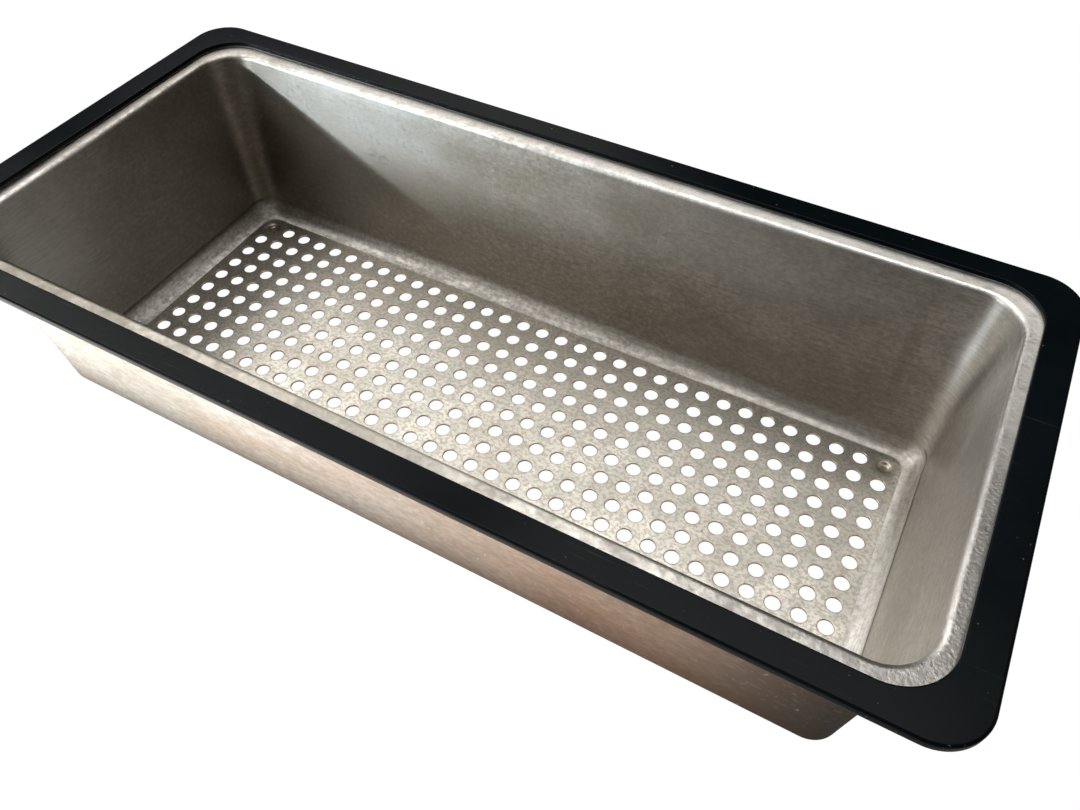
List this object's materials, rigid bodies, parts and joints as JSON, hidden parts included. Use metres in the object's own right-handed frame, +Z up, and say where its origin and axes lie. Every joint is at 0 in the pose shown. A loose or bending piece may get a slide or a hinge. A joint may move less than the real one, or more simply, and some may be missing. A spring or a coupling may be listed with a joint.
{
  "type": "perforated rim tray",
  "caption": "Deep rectangular stainless steel tray with a perforated floor, sloping walls and a flat black rim frame over its flange.",
  "frame": {"origin": "middle of the tray in plan, at the level of the soles of its four pressed feet", "axes": "+X along the tray's long side, +Y along its short side, +Z up out of the open mouth"},
  "size_m": [0.3926, 0.182, 0.0882],
  "materials": {
    "brushed_stainless": "brushed, satin, water-stained",
    "black_plastic": "satin moulded",
    "grey_sealant": "satin cured sealant"
  },
  "bodies": {
    "root": {"perforated_pan": "brushed_stainless", "rim_frame": "black_plastic", "glue_bead": "grey_sealant"}
  },
  "joints": []
}
